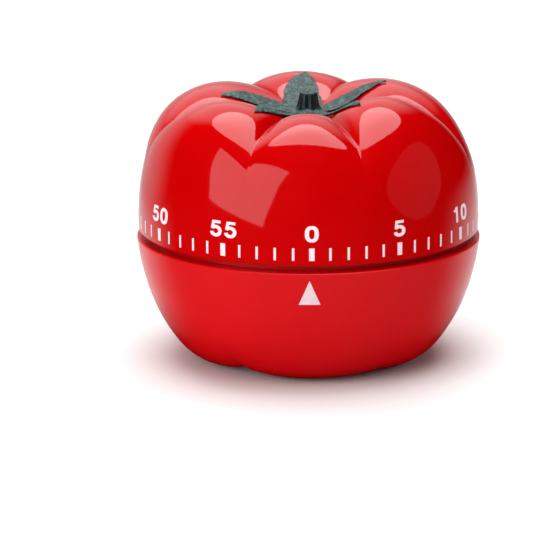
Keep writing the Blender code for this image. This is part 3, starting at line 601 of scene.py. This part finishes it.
def sepal_shells(azimuth, length, half_width, bend):
    """Closed leaf that lies on the dome: upper face with a midrib, and a plain lower face."""
    along_steps, across_steps = 30, 12
    upper, lower = [], []
    for i in range(along_steps + 1):
        u = i / along_steps
        r = 1.0 + (length - 1.0) * u
        a = radians(azimuth + bend * u * u)
        middle = Vector((r * sin(a), -r * cos(a)))
        side = Vector((cos(a), sin(a)))
        belly = sin(pi * (0.22 + 0.78 * u ** 1.15)) ** 0.75 if u < 1 else 0.0
        ragged = 1 + 0.14 * noise.noise(Vector((azimuth, u * 7, 0)))
        width = max(0.2, half_width * belly * ragged)
        for j in range(across_steps + 1):
            v = 2 * j / across_steps - 1
            place = middle + side * (v * width)
            rest = dome_top(place.x, place.y) + SEPAL_REST
            curl = 0.28 * abs(v) ** 3 * belly
            rib = 0.2 * np.exp(-(v / 0.16) ** 2) * (1 - u)
            body = SEPAL_THICK * (0.35 + 0.65 * (1 - abs(v) ** 2.2)) * (1 - 0.5 * u)
            lower.append((place.x, place.y, rest + curl))
            upper.append((place.x, place.y, rest + curl + body + rib))
    count = across_steps + 1
    total = len(upper)
    faces = []
    for i in range(along_steps):
        for j in range(across_steps):
            a, b = i * count + j, (i + 1) * count + j
            faces.append((a, a + 1, b + 1, b))
            faces.append((total + a, total + b, total + b + 1, total + a + 1))
    rim = ([j for j in range(count)] + [i * count + count - 1 for i in range(1, along_steps)]
           + [along_steps * count + j for j in reversed(range(count))]
           + [i * count for i in reversed(range(1, along_steps))])
    for a, b in zip(rim, rim[1:] + rim[:1]):
        faces.append((a, total + a, total + b, b))
    return upper + lower, faces


def stem_shell():
    """Fluted stub that flares into the middle of the star, with a cupped top."""
    levels = ((3.5, DIMPLE_Z + 0.15), (3.4, DIMPLE_Z + 0.75), (2.5, DIMPLE_Z + 1.15),
              (2.05, DIMPLE_Z + 1.8), (1.85, DIMPLE_Z + 2.8), (1.7, DIMPLE_Z + 3.6),
              (1.55, DIMPLE_Z + 4.05), (1.3, STEM_TOP), (1.0, STEM_TOP - 0.02),
              (0.7, STEM_TOP - 0.3))
    points, faces = [], []
    for r, z in levels:
        flute = min(1.0, max(0.0, (z - DIMPLE_Z - 0.7) / 1.2))
        for i in range(STEM_SIDES):
            a = 2 * pi * i / STEM_SIDES
            groove = FLUTE_DEPTH * flute * max(0.0, cos(5 * a)) ** 2
            points.append(((r - groove) * sin(a), -(r - groove) * cos(a), z))
    for k in range(len(levels) - 1):
        for i in range(STEM_SIDES):
            a, b = k * STEM_SIDES + i, k * STEM_SIDES + (i + 1) % STEM_SIDES
            faces.append((a, b, b + STEM_SIDES, a + STEM_SIDES))
    faces.append(tuple(range(STEM_SIDES)))
    faces.append(tuple((len(levels) - 1) * STEM_SIDES + i for i in range(STEM_SIDES)))
    return points, faces


def stem_share(add, link, place):
    """How far a point of the calyx belongs to the stem, by its height and distance out."""
    axis = add("ShaderNodeSeparateXYZ")
    flat = add("ShaderNodeVectorMath", {1: (1.0, 1.0, 0.0)}, operation="MULTIPLY")
    out = add("ShaderNodeVectorMath", operation="LENGTH")
    near = add("ShaderNodeMapRange", {"From Min": STEM_GLOSS_R[0] * MM,
                                      "From Max": STEM_GLOSS_R[1] * MM,
                                      "To Min": 1.0, "To Max": 0.0})
    high = add("ShaderNodeMapRange", {"From Min": (DIMPLE_Z + STEM_GLOSS_Z[0]) * MM,
                                      "From Max": (DIMPLE_Z + STEM_GLOSS_Z[1]) * MM})
    share = add("ShaderNodeMath", operation="MULTIPLY")
    link(place, axis.inputs["Vector"])
    link(place, flat.inputs[0])
    link(flat.outputs["Vector"], out.inputs[0])
    link(out.outputs["Value"], near.inputs["Value"])
    link(axis.outputs["Z"], high.inputs["Value"])
    link(near.outputs["Result"], share.inputs[0])
    link(high.outputs["Result"], share.inputs[1])
    return share.outputs["Value"]


def calyx_finish():
    """Dark grey-green vinyl, mottled, with painted shade in its wrinkle lines and a near-black
    stem.
    """
    finish = bpy.data.materials.new("calyx_green_vinyl")
    finish.use_nodes = True
    add, link, shader = node_chain(finish)
    place = add("ShaderNodeTexCoord").outputs["Object"]
    mottle = add("ShaderNodeTexNoise", {"Scale": 900.0, "Detail": 6.0, "Roughness": 0.65})
    # Painted shade: a Voronoi net of dark lines, multiplied into the colour, stands for the
    # shade in the wrinkles.
    wrinkle_shade_net = add("ShaderNodeTexVoronoi", {"Scale": 1000.0}, feature="DISTANCE_TO_EDGE")
    base = colour_ramp(add, ((0.40, (0.005, 0.026, 0.025)), (0.58, (0.052, 0.128, 0.116))))
    lines = colour_ramp(add, ((0.0, (0.06, 0.10, 0.10)), (0.14, (1.0, 1.0, 1.0))))
    mix = add("ShaderNodeMix", {"Factor": 0.8}, data_type="RGBA", blend_type="MULTIPLY")
    rough = add("ShaderNodeMapRange", {"To Min": 0.32, "To Max": 0.6})
    bump = add("ShaderNodeBump", {"Strength": 0.5, "Distance": 0.00015})
    stem = stem_share(add, link, place)
    skin = add("ShaderNodeMix", {"B": (0.004, 0.017, 0.018, 1.0)}, data_type="RGBA")
    sheen = add("ShaderNodeMix", {"B": 0.14})
    link(place, mottle.inputs["Vector"])
    link(place, wrinkle_shade_net.inputs["Vector"])
    link(mottle.outputs["Fac"], base.inputs["Fac"])
    link(wrinkle_shade_net.outputs["Distance"], lines.inputs["Fac"])
    link(base.outputs["Color"], mix.inputs["A"])
    link(lines.outputs["Color"], mix.inputs["B"])
    link(mottle.outputs["Fac"], rough.inputs["Value"])
    link(mottle.outputs["Fac"], bump.inputs["Height"])
    link(stem, skin.inputs["Factor"])
    link(mix.outputs["Result"], skin.inputs["A"])
    link(stem, sheen.inputs["Factor"])
    link(rough.outputs["Result"], sheen.inputs["A"])
    link(skin.outputs["Result"], shader.inputs["Base Color"])
    link(sheen.outputs["Result"], shader.inputs["Roughness"])
    link(bump.outputs["Normal"], shader.inputs["Normal"])
    shader.inputs["Specular IOR Level"].default_value = 0.4
    return finish


def fuse(parts, voxel):
    """Joins closed shells in millimetres into one skin and returns its mesh."""
    bm = bmesh.new()
    for points, faces in parts:
        verts = [bm.verts.new(p) for p in points]
        fresh = [bm.faces.new([verts[i] for i in face]) for face in faces]
        bmesh.ops.recalc_face_normals(bm, faces=fresh)
    mesh = bpy.data.meshes.new("fused")
    bm.to_mesh(mesh)
    bm.free()
    body = bpy.data.objects.new("fused", mesh)
    bpy.context.scene.collection.objects.link(body)
    remesh = body.modifiers.new("Remesh", "REMESH")
    remesh.mode, remesh.voxel_size = "VOXEL", voxel
    smooth = body.modifiers.new("Smooth", "SMOOTH")
    smooth.iterations, smooth.factor = 2, 0.5
    bpy.context.view_layer.update()
    made = bpy.data.meshes.new_from_object(
        body.evaluated_get(bpy.context.evaluated_depsgraph_get()))
    bpy.data.objects.remove(body)
    return made


peg_turns = np.radians(np.arange(0, 360, 22.5))
peg_rows = [round_row(PEG_R, z, peg_turns) for z in (DIMPLE_Z - 2.4, DIMPLE_Z + 0.5)]
peg_sides = len(peg_turns)
peg = (np.vstack(peg_rows),
       [(i, (i + 1) % peg_sides, peg_sides + (i + 1) % peg_sides, peg_sides + i)
        for i in range(peg_sides)]
       + [tuple(range(peg_sides)), tuple(range(peg_sides, 2 * peg_sides))])
calyx_mesh = fuse([sepal_shells(*sepal) for sepal in SEPALS] + [stem_shell(), peg], VOXEL)
calyx_points, calyx_faces = [], [tuple(p.vertices) for p in calyx_mesh.polygons]
for vert in calyx_mesh.vertices:
    spot = Vector(vert.co)
    facing_up = max(0.0, vert.normal.z)
    wrinkle = noise.fractal(spot * 1.3, 1.0, 2.2, 4) * 0.11 * facing_up
    calyx_points.append(spot + vert.normal * wrinkle)
calyx = make_piece("calyx_star", calyx_points, calyx_faces, calyx_finish(), sharp=60)
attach(calyx, "dial")
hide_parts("calyx")


# ---------------------------------------------------------------- works
# Zinc-plated steel plates and arbors, stamped brass wheels, a blued power spring and a
# nickel-plated bell fill the case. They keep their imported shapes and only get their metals.
def metal_finish(name, colour, dark, gloss, stretch):
    """Metal with fine lines from rolling or turning, and slight staining."""
    finish = bpy.data.materials.new(name)
    finish.use_nodes = True
    add, link, shader = node_chain(finish)
    place = add("ShaderNodeTexCoord").outputs["Object"]
    lay = add("ShaderNodeMapping", {"Scale": stretch})
    lines = add("ShaderNodeTexNoise", {"Scale": 900.0, "Detail": 3.0})
    stain = add("ShaderNodeTexNoise", {"Scale": 160.0, "Detail": 2.0})
    ramp = colour_ramp(add, ((0.3, dark), (0.62, colour)))
    rough = add("ShaderNodeMapRange", {"To Min": gloss * 0.7, "To Max": gloss * 1.4})
    bump = add("ShaderNodeBump", {"Strength": 0.15, "Distance": 0.00003})
    link(place, lay.inputs["Vector"])
    link(lay.outputs["Vector"], lines.inputs["Vector"])
    link(place, stain.inputs["Vector"])
    link(stain.outputs["Fac"], ramp.inputs["Fac"])
    link(lines.outputs["Fac"], rough.inputs["Value"])
    link(lines.outputs["Fac"], bump.inputs["Height"])
    link(ramp.outputs["Color"], shader.inputs["Base Color"])
    link(rough.outputs["Result"], shader.inputs["Roughness"])
    link(bump.outputs["Normal"], shader.inputs["Normal"])
    shader.inputs["Metallic"].default_value = 1.0
    return finish


slot_finishes = {
    "cover_red": moulded_plastic("cover_red_plastic", (0.55, 0.006, 0.009),
                                 (0.60, 0.009, 0.012), 0.38, 1100.0, 0.00005),
    "plate_steel": metal_finish("plate_zinc", (0.60, 0.61, 0.63), (0.50, 0.50, 0.50), 0.32,
                                (0.1, 1.0, 1.0)),
    "arbor_steel": metal_finish("arbor_steel", (0.62, 0.62, 0.63), (0.52, 0.52, 0.53), 0.22,
                                (0.2, 0.2, 1.0)),
    "screw_steel": metal_finish("screw_zinc", (0.66, 0.66, 0.64), (0.52, 0.51, 0.48), 0.3,
                                (1.0, 1.0, 0.3)),
    "wheel_brass": metal_finish("wheel_brass", (0.80, 0.58, 0.26), (0.66, 0.45, 0.18), 0.26,
                                (1.0, 0.15, 1.0)),
    "spring_blue": metal_finish("spring_blued", (0.16, 0.19, 0.28), (0.10, 0.12, 0.18), 0.25,
                                (1.0, 1.0, 0.1)),
    "bell_steel": metal_finish("bell_nickel", (0.76, 0.74, 0.70), (0.68, 0.66, 0.62), 0.14,
                               (1.0, 1.0, 0.1)),
}
slot_of_node = {part["node"]: part["material_slot"] for part in frame["record"]["subparts"]}
for node_name, node in nodes.items():
    wanted = slot_finishes.get(slot_of_node[node_name])
    if wanted and node.data.materials:
        for material_slot in node.material_slots:
            material_slot.material = wanted
    elif wanted:
        node.data.materials.append(wanted)


# ---------------------------------------------------------------- cover and its screws
# The cover is a flat red moulding with five sound slots, let into the foot ring. Three domed
# steel screws with a round socket hold it to the base.
EASE = 0.12                                    # how far the cover's edges are broken
SCREW_SHANK_R, SCREW_ROOT_R, SCREW_PITCH = 0.78, 0.62, 0.24
SCREW_HEAD = 0.8                               # thickness of a head
SOCKET_DEPTH = 0.35


def eased_copy(name, node, finish):
    """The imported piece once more, with its sharp edges broken as a moulding's are."""
    bm = bmesh.new()
    bm.from_mesh(node.data)
    bmesh.ops.remove_doubles(bm, verts=bm.verts, dist=1e-7)
    bmesh.ops.dissolve_limit(bm, angle_limit=radians(0.5), verts=bm.verts, edges=bm.edges)
    sharp = [e for e in bm.edges if e.is_manifold and e.calc_face_angle() > radians(40)]
    bmesh.ops.bevel(bm, geom=sharp, offset=EASE * MM, segments=2, affect="EDGES",
                    clamp_overlap=True)
    points = [v.co / MM for v in bm.verts]
    bm.verts.index_update()
    faces = [[v.index for v in f.verts] for f in bm.faces]
    bm.free()
    return make_piece(name, points, faces, finish, sharp=30)


def cover_screw_drawing():
    """Domed screw with a round socket and a thread, head down, on the Z axis."""
    low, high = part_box("cover_screw_1")
    head_r = (high[0] - low[0]) / 2 / MM
    length = (high[2] - low[2]) / MM
    turn = np.radians(np.arange(0, 360, 10))
    head = ((0.05, SOCKET_DEPTH), (head_r * 0.2, SOCKET_DEPTH), (head_r * 0.2, 0.0),
            (head_r * 0.62, 0.06), (head_r * 0.86, 0.22), (head_r, 0.5), (head_r, SCREW_HEAD),
            (SCREW_SHANK_R, SCREW_HEAD))
    flanks = int((length - SCREW_HEAD - 0.4) / (SCREW_PITCH / 2))
    thread = [(SCREW_SHANK_R if i % 2 else SCREW_ROOT_R, SCREW_HEAD + SCREW_PITCH / 2 * i)
              for i in range(flanks)]
    tip = ((0.5, length - 0.2), (0.05, length))
    rows = [round_row(r, z, turn) for r, z in (*head, *thread, *tip)]
    return make_piece("cover_screw_drawing", *wrapped_skin(rows), slot_finishes["screw_steel"])


def ring_of_screws(finish):
    """Copies of one screw at even steps round a circle."""
    tree, given = new_tree("cover_screws", (
        ("Count", "NodeSocketInt", 3), ("Start", "NodeSocketFloat", 0.0),
        ("Radius", "NodeSocketFloat", 0.015), ("Low", "NodeSocketFloat", 0.0)))
    screw = tree.nodes.new("GeometryNodeObjectInfo")
    screw.inputs["Object"].default_value = cover_screw_drawing()
    points, facing, _ = ring_points(tree, given, given.outputs["Low"])
    place = tree.nodes.new("GeometryNodeInstanceOnPoints")
    tree.links.new(points, place.inputs["Points"])
    tree.links.new(screw.outputs["Geometry"], place.inputs["Instance"])
    tree.links.new(facing, place.inputs["Rotation"])
    close_tree(tree, place.outputs[0], finish)
    return tree


cover = eased_copy("cover_disc", nodes["bottom_cover"], slot_finishes["cover_red"])
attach(cover, "base")
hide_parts("bottom_cover")

screw_low, screw_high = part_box("cover_screw_1")
screw_x, screw_y = ((a + b) / 2 for a, b in zip(screw_low[:2], screw_high[:2]))
screws = grow("cover_screws", ring_of_screws(slot_finishes["screw_steel"]), {
    "Start": float(np.arctan2(screw_x, -screw_y)), "Radius": float(np.hypot(screw_x, screw_y)),
    "Low": screw_low[2]})
bpy.data.objects.remove(bpy.data.objects["cover_screw_drawing"])
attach(screws, "base")
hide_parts("cover_screw_1", "cover_screw_2", "cover_screw_3")


# ---------------------------------------------------------------- floor, light and camera
# A white table under broad soft boxes, seen from a little above. The camera's target and
# distance and the floor's half side are in metres.
CAMERA_ELEVATION = 13.38
CAMERA_DISTANCE = 0.637
CAMERA_TARGET = Vector((0.0, 0.0, 0.0249))
CAMERA_LENS = 234.1
CAMERA_SHIFT = (-0.0786, -0.0877)
HALF_FLOOR = 6.0
FLOOR_Z = -0.0002                              # metres, a hair under the foot ring
SHADE_CORE, SHADE_EDGE = 27.0, 46.0            # radii between which the dark patch fades out

floor_white = bpy.data.materials.new("floor_white")
floor_white.use_nodes = True
floor_shader = floor_white.node_tree.nodes["Principled BSDF"]
floor_shader.inputs["Base Color"].default_value = (0.81, 0.81, 0.81, 1)
floor_shader.inputs["Roughness"].default_value = 0.9
floor_mesh = bpy.data.meshes.new("floor")
floor_corners = [(x * HALF_FLOOR, y * HALF_FLOOR, FLOOR_Z)
                 for x, y in ((-1, -1), (1, -1), (1, 1), (-1, 1))]
floor_mesh.from_pydata(floor_corners, [], [(0, 1, 2, 3)])
floor_mesh.materials.append(floor_white)
floor = bpy.data.objects.new("floor", floor_mesh)
bpy.context.scene.collection.objects.link(floor)
floor.visible_glossy = False


def shaded_finish():
    """Black that fades out with distance from the middle of the table."""
    finish = bpy.data.materials.new("table_shade")
    finish.use_nodes = True
    add, link, shader = node_chain(finish)
    out = add("ShaderNodeVectorMath", operation="LENGTH")
    fade = add("ShaderNodeMapRange", {"From Min": SHADE_CORE * MM, "From Max": SHADE_EDGE * MM,
                                      "To Min": 1.0, "To Max": 0.0})
    link(add("ShaderNodeTexCoord").outputs["Object"], out.inputs[0])
    link(out.outputs["Value"], fade.inputs["Value"])
    link(fade.outputs["Result"], shader.inputs["Alpha"])
    shader.inputs["Base Color"].default_value = (0.02, 0.0, 0.0, 1)
    shader.inputs["Specular IOR Level"].default_value = 0.0
    return finish


# The bowl's gloss sees the table near its foot as dark as the shadow there.
shade_turns = np.radians(np.arange(0, 360, 10))
shade_ring = round_row(SHADE_EDGE, -0.1, shade_turns) * MM
shade_mesh = bpy.data.meshes.new("table_shade")
shade_mesh.from_pydata([tuple(p) for p in shade_ring], [], [tuple(range(len(shade_ring)))])
shade_mesh.materials.append(shaded_finish())
shade = bpy.data.objects.new("table_shade", shade_mesh)
bpy.context.scene.collection.objects.link(shade)
shade.visible_camera = shade.visible_diffuse = shade.visible_shadow = False


def soft_box(name, azimuth, elevation, distance, width, height, radiance, mirrored=True,
             shape="RECTANGLE", roll=0.0):
    """Area light that faces the timer's middle, given how bright its face looks.

    Azimuth is counted from the front. A box that is not mirrored only fills in shadows.
    """
    light = bpy.data.lights.new(name, "AREA")
    light.shape, light.size, light.size_y = shape, width, height
    light.energy = radiance * pi * width * height * (pi / 4 if shape == "ELLIPSE" else 1)
    box = bpy.data.objects.new(name, light)
    a, e = radians(azimuth), radians(elevation)
    away = Vector((sin(a) * cos(e), -cos(a) * cos(e), sin(e)))
    box.location = Vector((0, 0, 0.03)) + away * distance
    facing = away.to_track_quat("Z", "Y") @ Quaternion((0, 0, 1), radians(roll))
    box.rotation_euler = facing.to_euler()
    box.visible_glossy = mirrored
    bpy.context.scene.collection.objects.link(box)


soft_box("window_box", -45, 22, 0.8, 0.64, 0.62, 1.75, roll=-13)
soft_box("top_box", 172, 79, 1.0, 1.18, 0.96, 3.5, shape="ELLIPSE")
soft_box("right_box", 80, 14, 0.8, 0.75, 0.55, 0.14, shape="ELLIPSE")
soft_box("left_fill", -55, 12, 1.5, 0.9, 0.9, 2.3, mirrored=False)
soft_box("front_fill", -15, 20, 1.5, 0.9, 0.9, 1.6, mirrored=False)
soft_box("right_fill", 95, 14, 1.5, 0.9, 0.9, 1.7, mirrored=False)
soft_box("crown_fill", -5, 66, 1.5, 1.1, 1.1, 3.1, mirrored=False)
soft_box("sweep_fill", 180, 52, 1.5, 2.0, 1.4, 0.35, mirrored=False)

world = bpy.data.worlds.new("studio")
world.use_nodes = True
bpy.context.scene.world = world
sky = world.node_tree
backdrop = sky.nodes["Background"]
backdrop.inputs["Color"].default_value = (1, 1, 1, 1)
direction = sky.nodes.new("ShaderNodeTexCoord").outputs["Generated"]


def sky_ramp(value, start, end, high):
    """Smooth rise of brightness from one value to another."""
    node = sky.nodes.new("ShaderNodeMapRange")
    node.interpolation_type = "SMOOTHSTEP"
    node.inputs["From Min"].default_value = start
    node.inputs["From Max"].default_value = end
    node.inputs["To Max"].default_value = high
    sky.links.new(value, node.inputs["Value"])
    return node.outputs["Result"]


def sky_math(operation, first, second):
    node = sky.nodes.new("ShaderNodeMath")
    node.operation = operation
    sky.links.new(first, node.inputs[0])
    sky.links.new(second, node.inputs[1])
    return node.outputs[0]


def sky_along(x, y, z):
    """How far a direction points along a given one."""
    node = sky.nodes.new("ShaderNodeVectorMath")
    node.operation = "DOT_PRODUCT"
    node.inputs[1].default_value = Vector((x, y, z)).normalized()
    sky.links.new(direction, node.inputs[0])
    return node.outputs["Value"]


upper = sky_ramp(sky_along(-0.37, 0.93, 0.0), 0.64, 0.93, 0.6)
ceiling = sky_ramp(sky_along(-0.12, 0.72, 0.68), 0.80, 0.97, 1.15)
behind = sky_ramp(sky_along(0.0, 1.0, 0.0), 0.12, 0.75, 1.2)
below = sky_ramp(sky_along(0.0, 0.0, -1.0), 0.0, 0.33, 1.0)
shallow = sky_ramp(sky_along(0.0, 0.0, 1.0), -0.85, -0.25, 1.0)
lower = sky_math("MULTIPLY", behind, sky_math("MULTIPLY", below, shallow))
above = sky_math("MAXIMUM", upper, ceiling)
sky.links.new(sky_math("MAXIMUM", above, lower), backdrop.inputs["Strength"])

camera_data = bpy.data.cameras.new("camera")
camera_data.lens = CAMERA_LENS
camera_data.sensor_width = 36.0
camera_data.shift_x, camera_data.shift_y = CAMERA_SHIFT
camera_data.clip_start, camera_data.clip_end = 0.05, 50.0
camera = bpy.data.objects.new("camera", camera_data)
tilt = radians(CAMERA_ELEVATION)
camera.location = CAMERA_TARGET + Vector((0, -cos(tilt), sin(tilt))) * CAMERA_DISTANCE
camera.rotation_euler = (pi / 2 - tilt, 0, 0)
bpy.context.scene.collection.objects.link(camera)
bpy.context.scene.camera = camera
bpy.context.scene.view_settings.view_transform = "Standard"
